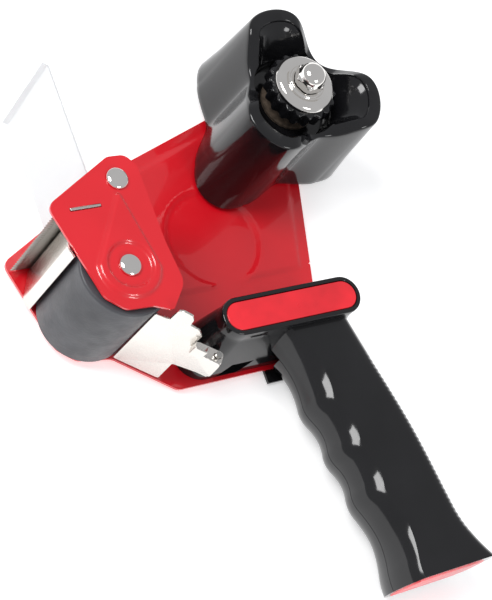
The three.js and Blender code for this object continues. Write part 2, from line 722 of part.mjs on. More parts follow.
// Black hand knob with ribs round its rim.
function knobGeometry() {
  const body = turned([
    [4.3, KNOB.bottom], [KNOB.radius - 3, KNOB.bottom], [KNOB.radius - 1.4, KNOB.bottom + 1],
    [KNOB.radius - 1.4, KNOB.top - 2], [KNOB.radius - 3, KNOB.top], [4.3, KNOB.top],
    [4.3, KNOB.bottom],
  ], 36);
  const ribs = [];
  const count = 12;
  for (let i = 0; i < count; i += 1) {
    const angle = 2 * Math.PI * i / count;
    const out = KNOB.radius - 1.6;
    ribs.push(rod(out * Math.cos(angle), out * Math.sin(angle),
      KNOB.bottom + 1.2, KNOB.top - 2.2, 1.6, 10));
  }
  return combine(body, { add: ribs });
}

place('brake_knob', knobGeometry(), blackPlastic);
place('dome_washer', turned([
  [SPINDLE.radius + GAP, KNOB.top + GAP], [13.6, KNOB.top + GAP], [14, KNOB.top + 1],
  [13, KNOB.top + 2], [9, KNOB.top + 3.4], [SPINDLE.radius + GAP, KNOB.top + 3.9],
  [SPINDLE.radius + GAP, KNOB.top + GAP],
], 36), chrome);

// Hexagonal cap nut: flats, a round shoulder and a dome over the end of the bolt.
place('cap_nut', combine(hexHead(nutBase, nutBase + 4, 12.5), {
  add: [turned([
    [0, nutBase + 3], [6, nutBase + 3], [6, nutBase + 4.6], [5.4, nutBase + 6.6],
    [4, nutBase + 8], [2, nutBase + 8.8], [0, nutBase + 9],
  ], 24)],
  cut: [rod(0, 0, nutBase - 1, nutBase + 5.5, SPINDLE.radius + GAP)],
}), chrome);

// ---------------------------------------------------------------- origin

const middle = new THREE.Box3().setFromObject(model).getCenter(new THREE.Vector3());
model.position.set(-middle.x, -middle.y, 0);
model.updateMatrixWorld(true);

export default model;
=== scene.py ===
# Looks of a hand-held tape dispenser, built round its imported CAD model.
# Pieces are drawn in millimetres round the tape hub's axis, with z up from the floor, and
# are then moved to the model's own frame in metres.

import json
import math

import bmesh
import bpy
import numpy as np
from mathutils import Matrix, Vector
from mathutils.geometry import delaunay_2d_cdt

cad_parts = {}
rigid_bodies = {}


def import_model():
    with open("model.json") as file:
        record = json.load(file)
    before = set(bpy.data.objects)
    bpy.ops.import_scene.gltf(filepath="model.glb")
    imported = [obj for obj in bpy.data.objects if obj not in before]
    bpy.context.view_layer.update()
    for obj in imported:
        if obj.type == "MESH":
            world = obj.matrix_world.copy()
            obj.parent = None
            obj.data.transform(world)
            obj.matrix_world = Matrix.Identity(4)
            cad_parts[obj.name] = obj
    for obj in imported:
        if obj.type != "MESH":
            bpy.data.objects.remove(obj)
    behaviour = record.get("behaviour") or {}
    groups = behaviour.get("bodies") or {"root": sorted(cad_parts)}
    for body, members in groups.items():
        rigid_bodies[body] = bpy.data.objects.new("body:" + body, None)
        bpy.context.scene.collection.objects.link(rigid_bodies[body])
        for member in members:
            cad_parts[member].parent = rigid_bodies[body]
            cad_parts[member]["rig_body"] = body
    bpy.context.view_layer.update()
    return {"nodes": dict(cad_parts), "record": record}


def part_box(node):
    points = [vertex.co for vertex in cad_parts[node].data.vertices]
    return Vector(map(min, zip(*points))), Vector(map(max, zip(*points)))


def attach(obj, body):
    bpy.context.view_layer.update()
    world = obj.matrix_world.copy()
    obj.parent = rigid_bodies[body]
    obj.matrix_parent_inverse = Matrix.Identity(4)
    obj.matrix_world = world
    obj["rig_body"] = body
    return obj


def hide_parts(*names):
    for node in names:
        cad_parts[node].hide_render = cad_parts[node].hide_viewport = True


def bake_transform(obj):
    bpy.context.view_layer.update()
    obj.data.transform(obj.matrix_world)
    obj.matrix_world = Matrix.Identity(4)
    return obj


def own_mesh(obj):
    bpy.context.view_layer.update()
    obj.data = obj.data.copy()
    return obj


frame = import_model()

MM = 0.001


# ------------------------------------------------------------ places read from the CAD model

def middle_of(node):
    low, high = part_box(node)
    return (low + high) / 2


AXIS = middle_of("spindle_bolt")


def span(node):
    """Lowest and highest corner of a CAD node, in millimetres round the hub's axis."""
    low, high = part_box(node)
    shift = Vector((AXIS.x, AXIS.y, 0))
    return (low - shift) / MM, (high - shift) / MM


def centre(node):
    low, high = span(node)
    return (low + high) / 2


FRAME_BOTTOM, FRAME_TOP = (corner.z for corner in span("frame_plate"))
CHEEK_BOTTOM, CHEEK_TOP = (corner.z for corner in span("cheek_plate"))
TIE = centre("tie_rod")
ROLLER = centre("roller_sleeve")
ROLLER_RADIUS = (span("roller_sleeve")[1].x - span("roller_sleeve")[0].x) / 2
SLEEVE_LOW, SLEEVE_HIGH = (corner.z for corner in span("roller_sleeve"))
HUB_BOTTOM, HUB_RIM = (corner.z for corner in span("tape_hub"))
GRIP_MIDDLE = centre("base_insert").z
BAR_TOP = span("near_handle_shell")[1].z
BAR_EDGES = (-69.4, -0.5, -99.3, -82.6)


# ------------------------------------------------------------ materials

def node_material(name, color, metallic=0.0, roughness=0.4):
    """New node material with its Principled shader's plain values set."""
    material = bpy.data.materials.new(name)
    material.use_nodes = True
    tree = material.node_tree
    shader = tree.nodes["Principled BSDF"]
    shader.inputs["Base Color"].default_value = (*color, 1)
    shader.inputs["Metallic"].default_value = metallic
    shader.inputs["Roughness"].default_value = roughness
    return material, tree, shader


def noise(tree, scale, detail=3.0, stretch=(1, 1, 1)):
    """Noise over the object's own space, finer for a larger scale, stretched along axes."""
    place = tree.nodes.new("ShaderNodeTexCoord")
    mapping = tree.nodes.new("ShaderNodeMapping")
    mapping.inputs["Scale"].default_value = stretch
    texture = tree.nodes.new("ShaderNodeTexNoise")
    texture.inputs["Scale"].default_value = scale
    texture.inputs["Detail"].default_value = detail
    tree.links.new(place.outputs["Object"], mapping.inputs["Vector"])
    tree.links.new(mapping.outputs["Vector"], texture.inputs["Vector"])
    return texture.outputs["Fac"]


def ramp(tree, value, low, high, start=0.3, end=0.7):
    """Maps a value between start and end to a number between low and high."""
    node = tree.nodes.new("ShaderNodeMapRange")
    node.inputs["From Min"].default_value = start
    node.inputs["From Max"].default_value = end
    node.inputs["To Min"].default_value = low
    node.inputs["To Max"].default_value = high
    tree.links.new(value, node.inputs["Value"])
    return node.outputs["Result"]


def vary_color(tree, shader, value, dark, light):
    mix = tree.nodes.new("ShaderNodeMix")
    mix.data_type = "RGBA"
    mix.inputs["A"].default_value = (*dark, 1)
    mix.inputs["B"].default_value = (*light, 1)
    tree.links.new(value, mix.inputs["Factor"])
    tree.links.new(mix.outputs["Result"], shader.inputs["Base Color"])


def bump(tree, shader, value, strength, distance):
    node = tree.nodes.new("ShaderNodeBump")
    node.inputs["Strength"].default_value = strength
    node.inputs["Distance"].default_value = distance
    tree.links.new(value, node.inputs["Height"])
    tree.links.new(node.outputs["Normal"], shader.inputs["Normal"])


def paint():
    """Glossy red powder coat: even colour, faint orange peel and slightly uneven gloss."""
    material, tree, shader = node_material("red_paint", (0.72, 0.005, 0.014), 0, 0.34)
    shader.inputs["Coat Weight"].default_value = 1.0
    shader.inputs["Coat Roughness"].default_value = 0.05
    shader.inputs["Specular IOR Level"].default_value = 0.35
    vary_color(tree, shader, ramp(tree, noise(tree, 30), 0, 1),
               (0.68, 0.004, 0.012), (0.76, 0.006, 0.016))
    tree.links.new(ramp(tree, noise(tree, 90), 0.28, 0.4), shader.inputs["Roughness"])
    bump(tree, shader, noise(tree, 420, 2), 0.05, 0.0004)
    return material


def plastic(name, color, roughness, grain, grain_depth, coat=0.0):
    """Moulded plastic with a fine grain and slightly uneven gloss."""
    material, tree, shader = node_material(name, color, 0, roughness)
    shader.inputs["Coat Weight"].default_value = coat
    shader.inputs["Coat Roughness"].default_value = 0.06
    dark = tuple(c * 0.8 for c in color)
    light = tuple(c * 1.2 for c in color)
    vary_color(tree, shader, ramp(tree, noise(tree, 45), 0, 1), dark, light)
    tree.links.new(ramp(tree, noise(tree, 140), roughness * 0.8, roughness * 1.25),
                   shader.inputs["Roughness"])
    bump(tree, shader, noise(tree, grain, 2), grain_depth, 0.0003)
    return material


def metal(name, color, roughness, scratch, stretch=(1, 1, 30)):
    """Plated or rolled metal with fine marks that run across the stretched axis."""
    material, tree, shader = node_material(name, color, 1.0, roughness)
    marks = noise(tree, 220, 4, stretch)
    dark = tuple(c * 0.93 for c in color)
    vary_color(tree, shader, ramp(tree, noise(tree, 60, 4), 0, 1), dark, color)
    tree.links.new(ramp(tree, marks, roughness * 0.7, roughness * 1.35),
                   shader.inputs["Roughness"])
    bump(tree, shader, marks, scratch, 0.0002)
    return material


def clear_sheet():
    """Translucent milky plastic sheet, a little duller in places."""
    material, tree, shader = node_material("clear_plastic", (0.93, 0.94, 0.95), 0, 0.25)
    shader.inputs["Transmission Weight"].default_value = 0.35
    shader.inputs["IOR"].default_value = 1.3
    tree.links.new(ramp(tree, noise(tree, 12, 1, (1, 3, 1)), 0.26, 0.4),
                   shader.inputs["Roughness"])
    return material


def fibre_board():
    material, tree, shader = node_material("fibre", (0.10, 0.075, 0.055), 0, 0.9)
    vary_color(tree, shader, ramp(tree, noise(tree, 500, 5, (1, 1, 4)), 0, 1),
               (0.06, 0.045, 0.03), (0.15, 0.11, 0.08))
    bump(tree, shader, noise(tree, 700, 5), 0.4, 0.0004)
    return material


LOOKS = {
    "red_paint": paint(),
    "nickel": metal("nickel", (0.80, 0.765, 0.72), 0.24, 0.05, (4, 4, 60)),
    "chrome": metal("chrome", (0.90, 0.875, 0.84), 0.07, 0.01, (1, 1, 1)),
    "blade_steel": metal("blade_steel", (0.34, 0.33, 0.31), 0.34, 0.12, (60, 4, 4)),
    "black_plastic": plastic("black_plastic", (0.0075, 0.0075, 0.0085), 0.11, 300, 0.04),
    "inner_plastic": plastic("inner_plastic", (0.018, 0.018, 0.02), 0.45, 500, 0.3),
    "roller_rubber": plastic("roller_rubber", (0.048, 0.049, 0.056), 0.42, 800, 0.25),
    "clear_plastic": clear_sheet(),
    "red_plastic": plastic("red_plastic", (0.80, 0.016, 0.028), 0.32, 650, 0.12, 0.3),
    "spring_steel": metal("spring_steel", (0.48, 0.47, 0.45), 0.28, 0.08, (40, 4, 4)),
    "fibre": fibre_board(),
}
SLOT_OF = {row["node"]: row["material_slot"] for row in frame["record"]["subparts"]}
for name, node in frame["nodes"].items():
    node.data.materials.clear()
    node.data.materials.append(LOOKS[SLOT_OF[name]])


# ------------------------------------------------------------ mesh helpers

def add_piece(name, points, faces, slot, body, stands_for=(), sharp=35, edge=0.0, steps=2):
    """Adds a closed mesh from points in drawing millimetres. Edges over `sharp` degrees are
    shaded sharp, or rounded by `edge` millimetres."""
    mesh = bpy.data.meshes.new(name)
    moved = np.array(points, float) * MM + np.array([AXIS.x, AXIS.y, 0])
    mesh.from_pydata(moved.tolist(), [], [list(map(int, face)) for face in faces])
    work = bmesh.new()
    work.from_mesh(mesh)
    bmesh.ops.remove_doubles(work, verts=work.verts, dist=1e-7)
    bmesh.ops.dissolve_degenerate(work, edges=work.edges, dist=1e-8)
    bmesh.ops.recalc_face_normals(work, faces=work.faces)
    work.to_mesh(mesh)
    work.free()
    piece = bpy.data.objects.new(name, mesh)
    bpy.context.scene.collection.objects.link(piece)
    mesh.materials.append(LOOKS[slot])
    mesh.shade_smooth()
    if edge:
        bevel = piece.modifiers.new("edge", "BEVEL")
        bevel.width = edge * MM
        bevel.segments = steps
        bevel.limit_method = "ANGLE"
        bevel.angle_limit = math.radians(sharp)
        bevel.harden_normals = True
    else:
        mesh.set_sharp_from_angle(angle=math.radians(sharp))
    if stands_for:
        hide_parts(*stands_for)
    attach(piece, body)
    return piece


def loft_parts(rings, closed=False, caps=True):
    """Skin through rings of equal length. closed joins the last ring to the first."""
    count = len(rings[0])
    points = [tuple(p) for ring in rings for p in ring]
    faces = []
    pairs = len(rings) if closed else len(rings) - 1
    for k in range(pairs):
        a0 = k * count
        b0 = ((k + 1) % len(rings)) * count
        for i in range(count):
            j = (i + 1) % count
            faces.append([a0 + i, a0 + j, b0 + j, b0 + i])
    if caps and not closed:
        faces.append(list(range(count))[::-1])
        last = (len(rings) - 1) * count
        faces.append(list(range(last, last + count)))
    return points, faces


def ease(line, radius, steps=5, closed=False):
    """Rounds the corners of a 2D polyline. A point may carry a radius of its own."""
    count = len(line)
    out = []
    for i, corner in enumerate(line):
        here = np.array(corner[:2], float)
        size = corner[2] if len(corner) > 2 else radius
        ends = not closed and i in (0, count - 1)
        if ends or size == 0:
            out.append(here)
            continue
        back = np.array(line[i - 1][:2], float) - here
        ahead = np.array(line[(i + 1) % count][:2], float) - here
        back_length, ahead_length = np.linalg.norm(back), np.linalg.norm(ahead)
        turn = np.dot(back, ahead) / (back_length * ahead_length)
        half = math.acos(max(-1, min(1, turn))) / 2
        reach = min(size / max(math.tan(half), 1e-3), 0.49 * back_length, 0.49 * ahead_length)
        start = here + back / back_length * reach
        end = here + ahead / ahead_length * reach
        for t in np.linspace(0, 1, steps + 1):
            out.append((1 - t) ** 2 * start + 2 * t * (1 - t) * here + t * t * end)
    return out


def turned_parts(profile, x=0.0, y=0.0, segments=64, ripple=None):
    """Solid of revolution about z from [radius, z] points that start and end on the axis,
    or that close on themselves. ripple(angle, radius, z) adds to the radius."""
    rings = []
    for r, z in profile:
        ring = []
        for k in range(segments):
            angle = 2 * math.pi * k / segments
            out = r + (ripple(angle, r, z) if ripple else 0)
            ring.append((x + out * math.cos(angle), y + out * math.sin(angle), z))
        rings.append(ring)
    touches_axis = profile[0][0] < 1e-6
    return loft_parts(rings, closed=not touches_axis, caps=False)


def wire_parts(path, radius, sides=10):
    """Round wire along a 3D path."""
    path = np.array(path, float)
    ahead = np.gradient(path, axis=0)
    ahead /= np.linalg.norm(ahead, axis=1, keepdims=True)
    side = np.cross(ahead, (0.3, 0.2, 0.93))
    side /= np.linalg.norm(side, axis=1, keepdims=True)
    over = np.cross(side, ahead)
    rings = []
    for k, middle in enumerate(path):
        angles = [2 * math.pi * i / sides for i in range(sides)]
        rings.append([tuple(middle + radius * (math.cos(a) * side[k] + math.sin(a) * over[k]))
                      for a in angles])
    return loft_parts(rings)


def coil_path(x, y, radius, low, high, turns, flat_turns=0.75, steps=28):
    """Points of a compression coil whose end turns lie flat."""
    count = int((turns + 2 * flat_turns) * steps)
    path = []
    for k in range(count + 1):
        turned = k / steps
        climb = np.clip((turned - flat_turns) / turns, 0, 1)
        a = 2 * math.pi * turned
        path.append((x + radius * math.cos(a), y + radius * math.sin(a),
                     low + (high - low) * float(climb)))
    return path


def laid_along(parts, place, axis):
    """A part drawn round z, laid along x or y instead, from a middle point."""
    points, faces = parts
    turned = []
    for x, y, z in points:
        moved = (z, x, y) if axis == "x" else (y, z, x)
        turned.append(tuple(np.array(moved) + np.array(place)))
    return turned, faces


def offset_line(line, distance):
    """The 2D line moved sideways, to its left for a positive distance."""
    points = np.array(line, float)
    ahead = np.gradient(points, axis=0)
    for i in range(1, len(points) - 1):
        first = points[i] - points[i - 1]
        second = points[i + 1] - points[i]
        ahead[i] = (first / max(np.linalg.norm(first), 1e-9)
                    + second / max(np.linalg.norm(second), 1e-9))
    ahead /= np.maximum(np.linalg.norm(ahead, axis=1, keepdims=True), 1e-9)
    return points + distance * np.stack([-ahead[:, 1], ahead[:, 0]], axis=1)


def strip_parts(line, thickness, low, high):
    """Sheet of one thickness that follows a 2D line, between two heights."""
    left = offset_line(line, thickness / 2)
    right = offset_line(line, -thickness / 2)[::-1]
    outline = np.concatenate([left, right])
    return loft_parts([[(x, y, z) for x, y in outline] for z in (low, high)])


def box_parts(x0, x1, y0, y1, z0, z1):
    ring = [(x0, y0), (x1, y0), (x1, y1), (x0, y1)]
    return loft_parts([[(x, y, z) for x, y in ring] for z in (z0, z1)])


def circle_line(x, y, radius, steps=32):
    angles = [2 * math.pi * k / steps for k in range(steps)]
    return [np.array([x + radius * math.cos(a), y + radius * math.sin(a)]) for a in angles]


def resample(outline, step):
    """Closed outline with its long sides cut to about one step."""
    out = []
    for i, a in enumerate(outline):
        b = outline[(i + 1) % len(outline)]
        pieces = max(1, round(float(np.linalg.norm(b - a)) / step))
        out.extend(a + (b - a) * k / pieces for k in range(pieces))
    return out


def inside(points, outline):
    """Which of the points lie inside the closed outline."""
    x, y = points[:, 0], points[:, 1]
    result = np.zeros(len(points), bool)
    for i, (x1, y1) in enumerate(outline):
        x0, y0 = outline[i - 1]
        crosses = (y0 > y) != (y1 > y)
        rise = (y1 - y0) if y1 != y0 else 1e-12
        result ^= crosses & (x < (x1 - x0) * (y - y0) / rise + x0)
    return result


def edge_distance(points, outline):
    """Distance from each point to the closed outline."""
    best = np.full(len(points), 1e9)
    for i, b in enumerate(outline):
        a = outline[i - 1]
        d = b - a
        t = np.clip(((points - a) @ d) / max(float(d @ d), 1e-12), 0, 1)
        best = np.minimum(best, np.linalg.norm(points - (a + t[:, None] * d), axis=1))
    return best


def pressed_parts(outline, holes, thickness, top, height, step=1.5):
    """Sheet of steel with holes, whose top is `top` plus a pressed height over x and y."""
    loops = [resample(outline, step)] + [resample(hole, step) for hole in holes]
    low = np.min(loops[0], axis=0)
    high = np.max(loops[0], axis=0)
    across = np.arange(low[0], high[0], step)
    along = np.arange(low[1], high[1], step * 0.87)
    grid = np.array([(x + (row % 2) * step / 2, y) for row, y in enumerate(along)
                     for x in across])
    keep = inside(grid, loops[0]) & (edge_distance(grid, loops[0]) > 0.6 * step)
    for hole in loops[1:]:
        keep &= ~inside(grid, hole) & (edge_distance(grid, hole) > 0.6 * step)
    points = [Vector(p) for loop in loops for p in loop]
    edges, start = [], 0
    for loop in loops:
        edges.extend((start + i, start + (i + 1) % len(loop)) for i in range(len(loop)))
        start += len(loop)
    points.extend(Vector(p) for p in grid[keep])
    verts, _, triangles, *_ = delaunay_2d_cdt(points, edges, [], 0, 1e-6)
    flat = np.array([tuple(v) for v in verts])
    middles = np.array([flat[list(t)].mean(axis=0) for t in triangles])
    wanted = inside(middles, loops[0])
    for hole in loops[1:]:
        wanted &= ~inside(middles, hole)
    triangles = [list(t) for t, ok in zip(triangles, wanted) if ok]
    rise = height(flat[:, 0], flat[:, 1])
    count = len(flat)
    points = [(x, y, top + h) for (x, y), h in zip(flat, rise)]
    points += [(x, y, top + h - thickness) for (x, y), h in zip(flat, rise)]
    faces = list(triangles)
    faces += [[i + count for i in reversed(t)] for t in triangles]
    sides = {}
    for a, b, c in triangles:
        for pair in ((a, b), (b, c), (c, a)):
            sides[pair] = True
    faces += [[b, a, a + count, b + count] for a, b in sides if (b, a) not in sides]
    return points, faces


def smooth_step(value):
    t = np.clip(value, 0, 1)
    return t * t * (3 - 2 * t)


def cut_or_join(piece, parts, operation):
    """Applies a boolean with a temporary solid to the piece's mesh."""
    points, faces = parts
    mesh = bpy.data.meshes.new("tool")
    moved = np.array(points, float) * MM + np.array([AXIS.x, AXIS.y, 0])
    mesh.from_pydata(moved.tolist(), [], [list(map(int, face)) for face in faces])
    work = bmesh.new()
    work.from_mesh(mesh)
    bmesh.ops.remove_doubles(work, verts=work.verts, dist=1e-7)
    bmesh.ops.recalc_face_normals(work, faces=work.faces)
    work.to_mesh(mesh)
    work.free()
    tool = bpy.data.objects.new("tool", mesh)
    bpy.context.scene.collection.objects.link(tool)
    modifier = piece.modifiers.new("boolean", "BOOLEAN")
    modifier.operation = operation
    modifier.solver = "EXACT"
    modifier.object = tool
    bpy.context.view_layer.update()
    result = bpy.data.meshes.new_from_object(
        piece.evaluated_get(bpy.context.evaluated_depsgraph_get()))
    piece.modifiers.remove(modifier)
    bpy.data.objects.remove(tool)
    piece.data = result
    result.shade_smooth()
    result.set_sharp_from_angle(angle=math.radians(28))


# ------------------------------------------------------------ frame and cheek plates

CORNER = (-137.6, -37.4, 5)
FRAME_OUTLINE = ease([
    (-80, -106.3, 6), (-104.5, -87, 6), (-120, -84.6, 6), (-127.3, -78, 5), CORNER,
    (-66, -1.4, 20), (31, 30, 10), (-5.5, -106.3, 6),
], 0, 8, True)
CHEEK_OUTLINE = ease([
    (-100.4, -88.4, 2), (-108, -85.2, 8), (-120, -84.6, 6), (-127.3, -78, 5), CORNER,
    (-105.5, -20.6, 5), (-97.5, -20.8, 5), (-93.7, -26, 4), (-93.4, -60, 0),
    (-91.6, -78, 8),
], 0, 8, True)
SLOT = ease([(-128.9, -41.3), (-128.9, -39.7), (-115.1, -39.7), (-115.1, -41.3)], 0.4, 3, True)
PIN_HOLES = [circle_line(TIE.x, TIE.y, 2.8), circle_line(ROLLER.x, ROLLER.y, 2.8)]


def line_distance(x, y, a, b):
    """Signed distance to the line from a to b, positive on its left."""
    run, rise = b[0] - a[0], b[1] - a[1]
    length = math.hypot(run, rise)
    return ((y - a[1]) * run - (x - a[0]) * rise) / length


def frame_height(x, y):
    """Raised panel inside the border, with a round dish beside the throat."""
    top = line_distance(x, y, (31, 30), (-66, -1.4))
    back = line_distance(x, y, (-5.5, -106.3), (31, 30))
    foot = line_distance(x, y, (-64, -66.9), (-38, -66.3))
    front = x + 88
    border = np.minimum(np.minimum(top, back), np.minimum(foot + 4.2, front))
    panel = smooth_step((border - 5.0) / 1.6)
    dish = smooth_step((23.4 - np.hypot(x + 38, y + 43)) / 1.8)
    brake = smooth_step((np.hypot(x, y) - 17) / 3)
    return 0.95 * panel * (1 - dish) * brake


def cheek_height(x, y):
    """Raised teardrop from the tie rod to the axle, with a dish round the axle's rivet."""
    apex = np.array([-106.9, -38.4])
    ball = np.array([ROLLER.x - 0.4, ROLLER.y - 0.3])
    along = ball - apex
    t = np.clip(((x - apex[0]) * along[0] + (y - apex[1]) * along[1]) / (along @ along), 0, 1)
    radius = 0.8 + 12.1 * t
    away = np.hypot(x - apex[0] - t * along[0], y - apex[1] - t * along[1])
    drop = smooth_step((radius + 1.4 - away) / 2.1)
    dish = smooth_step((10.4 - np.hypot(x - ROLLER.x, y - ROLLER.y)) / 1.8)
    return 1.7 * drop * (1 - dish)


def build_plates():
    screw_holes = [circle_line(x, -94, 2.4, 20) for x in (-58, -14)]
    parts = pressed_parts(
        FRAME_OUTLINE, [*PIN_HOLES, SLOT, circle_line(0, 0, 4.3), *screw_holes],
        FRAME_TOP - FRAME_BOTTOM, FRAME_TOP, frame_height)
    add_piece("frame_plate_pressed", *parts, "red_paint", "frame", ["frame_plate"],
              sharp=50, edge=0.3)
    parts = pressed_parts(CHEEK_OUTLINE, [*PIN_HOLES, SLOT], CHEEK_TOP - CHEEK_BOTTOM,
                          CHEEK_TOP, cheek_height, 0.7)
    add_piece("cheek_plate_pressed", *parts, "red_paint", "frame", ["cheek_plate"],
              sharp=50, edge=0.3)


# ------------------------------------------------------------ rods and roller

def dome_profile(radius, base, rise, steps=10):
    """Quarter of an ellipse from the rim to the axis, upwards for a positive rise."""
    return [(radius * math.cos(a), base + rise * math.sin(a))
            for a in np.linspace(0, math.pi / 2, steps)]


def riveted_rod(name, x, y, node):
    low, high = FRAME_BOTTOM - 0.3, CHEEK_TOP + 0.3
    profile = dome_profile(4.7, low - 0.2, -1.8, 14)[::-1]
    profile += [(4.7, low), (2.5, low), (2.5, FRAME_TOP + 0.3)]
    profile += ease([(2.5, FRAME_TOP + 0.3), (4, FRAME_TOP + 0.3), (4, CHEEK_BOTTOM - 0.3),
                     (2.5, CHEEK_BOTTOM - 0.3)], 0.4, 3)[1:]
    profile += [(2.5, high), (4.7, high)] + dome_profile(4.7, high + 0.2, 1.8, 14)
    add_piece(name, *turned_parts(profile, x, y, 72), "chrome", "frame", [node])


def build_roller():
    riveted_rod("tie_rod_turned", TIE.x, TIE.y, "tie_rod")
    riveted_rod("roller_axle_turned", ROLLER.x, ROLLER.y, "roller_axle")
    inner = ROLLER_RADIUS - 4.6
    profile = ease([
        (inner, SLEEVE_LOW), (ROLLER_RADIUS, SLEEVE_LOW), (ROLLER_RADIUS, SLEEVE_HIGH),
        (inner, SLEEVE_HIGH),
    ], 1.3, 5)
    add_piece("roller_sleeve_moulded", *turned_parts(profile, ROLLER.x, ROLLER.y, 128),
              "roller_rubber", "roller", ["roller_sleeve"], sharp=50)
    core = ease([
        (4.3, SLEEVE_LOW - 0.6), (7, SLEEVE_LOW - 0.6), (7, SLEEVE_LOW + 3),
        (inner - 2.2, SLEEVE_LOW + 3), (inner - 2.2, SLEEVE_LOW + 0.5),
        (inner - 0.3, SLEEVE_LOW + 0.5), (inner - 0.3, SLEEVE_HIGH - 0.5),
        (inner - 2.2, SLEEVE_HIGH - 0.5), (inner - 2.2, SLEEVE_HIGH - 3), (7, SLEEVE_HIGH - 3),
        (7, SLEEVE_HIGH + 0.6), (4.3, SLEEVE_HIGH + 0.6),
    ], 0.3, 3, True)
    add_piece("roller_core_moulded", *turned_parts(core, ROLLER.x, ROLLER.y, 96),
              "inner_plastic", "roller", ["roller_core"])


# ------------------------------------------------------------ cutter

def build_cutter():
    low, high = span("front_guard")[0].z, span("front_guard")[1].z
    flange = centre("cutter_blade").y + 1.1
    holder = ease([(-132, flange), (-113.6, flange), (-113.6, -28)], 1.4, 6)
    tab_low, tab_high = span("blade_holder")[0].z, span("blade_holder")[1].z
    tab = box_parts(-128.6, -115.4, flange - 0.5, flange + 0.5, tab_low, tab_high)
    piece = add_piece("blade_holder_bent", *strip_parts(holder, 1.0, low, high), "nickel",
                      "frame", ["blade_holder"], edge=0.18)
    cut_or_join(piece, tab, "UNION")
    guard_line = span("front_guard")[1].y - 0.5
    guard = ease([(-117, guard_line), (-127.5, guard_line, 2.2), (-134.2, -55.2, 2.0),
                  (-132.9, -59.4)], 1.5, 6)
    add_piece("front_guard_bent", *strip_parts(guard, 1.0, low, high), "nickel", "frame",
              ["front_guard"], edge=0.18)

    teeth, depth = 25, 3.8
    blade_low, blade_high = span("cutter_blade")[0].z, span("cutter_blade")[1].z
    pitch = (blade_high - blade_low) / teeth
    tip = span("cutter_blade")[0].x
    outline = [(-117, blade_low), (tip + depth, blade_low)]
    for k in range(teeth):
        outline += [(tip, blade_low + (k + 0.5) * pitch),
                    (tip + depth, blade_low + (k + 1) * pitch)]
    outline.append((-117, blade_high))
    y0, y1 = span("cutter_blade")[0].y, span("cutter_blade")[1].y
    parts = loft_parts([[(x, y, z) for x, z in outline] for y in (y0, y1)])
    add_piece("cutter_blade_toothed", *parts, "blade_steel", "frame", ["cutter_blade"])


def build_small_rivets():
    """Domed rivets that hold the blade and the flap's clamp."""
    for name, axis in [(f"blade_rivet_{k}", "y") for k in (1, 2, 3)] + \
            [(f"flap_rivet_{k}", "x") for k in (1, 2)]:
        low, high = span(name)
        size = high - low
        length = size.y if axis == "y" else size.x
        head = size.z / 2
        profile = dome_profile(head, 1.4 - length / 2, -1.4)[::-1]
        profile += [(0.45 * head, 1.4 - length / 2), (0.45 * head, length / 2 - 1.4)]
        profile += dome_profile(head, length / 2 - 1.4, 1.4)
        parts = laid_along(turned_parts(profile, 0, 0, 40), centre(name), axis)
        add_piece(name + "_domed", *parts, "nickel", "frame", [name])


# ------------------------------------------------------------ clear flap

def build_flap():
    low, high = span("tape_flap")[0].z, span("tape_flap")[1].z
    x = span("flap_root")[0].x + 0.4
    root, top = span("flap_root")[0].y, span("tape_flap")[1].y
    line = ease([(x, root), (x, top - 1.4), (x - 2.3, top)], 1.0, 5)
    line = [line[0]] + [np.array([x, y]) for y in np.linspace(root, top - 3, 48)[1:]] + line[1:]
    left = offset_line(line, 0.4)
    right = offset_line(line, -0.4)[::-1]
    outline = np.concatenate([left, right])
    heights = np.linspace(low, high, 12)
    parts = loft_parts([[(px, py, z) for px, py in outline] for z in heights])
    piece = add_piece("tape_flap_sheet", *parts, "clear_plastic", "frame",
                      ["flap_root", "tape_flap"], sharp=40)
    piece.parent = None
    del piece["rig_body"]
    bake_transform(piece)


# ------------------------------------------------------------ tape hub

LOBES = (97, 217, 337)
HUB_RADIUS = 37.5
HUB_FLARE = 43.5
HUB_WAIST = 22.5
HUB_FLANK = 50.0
WELL = 19.0
WELL_FLOOR = 40.0


def hub_radius(degrees, radius, waist, crown):
    """Radius of the hub's outline: round lobes, lower at their corners by the crown, with
    hollow flanks between them."""
    off = (degrees - LOBES[0]) % 120
    off = min(off, 120 - off)
    lobe = radius - crown * min((off / 20) ** 2, 1.4)
    t = (60 - off) / 40
    flank = waist + (radius - crown - waist) * t ** 1.75
    return (flank ** -24 + lobe ** -24) ** (-1 / 24)


def hub_ring(z, radius, waist, crown=1.2, lift=0.0, inset=0.0, count=300):
    ring = []
    for k in range(count):
        degrees = 360 * k / count
        outer = hub_radius(degrees, radius, waist, crown)
        r = max(outer - inset, WELL + 1.7)
        a = math.radians(degrees)
        rise = lift * float(smooth_step((outer - HUB_WAIST) / 13))
        ring.append((r * math.cos(a), r * math.sin(a), z + rise))
    return ring


def round_ring(z, radius, count=300):
    return [(x, y, z) for x, y in circle_line(0, 0, radius, count)]


def between_rings(first, last, share):
    return [tuple(np.array(a) * (1 - share) + np.array(b) * share)
            for a, b in zip(first, last)]


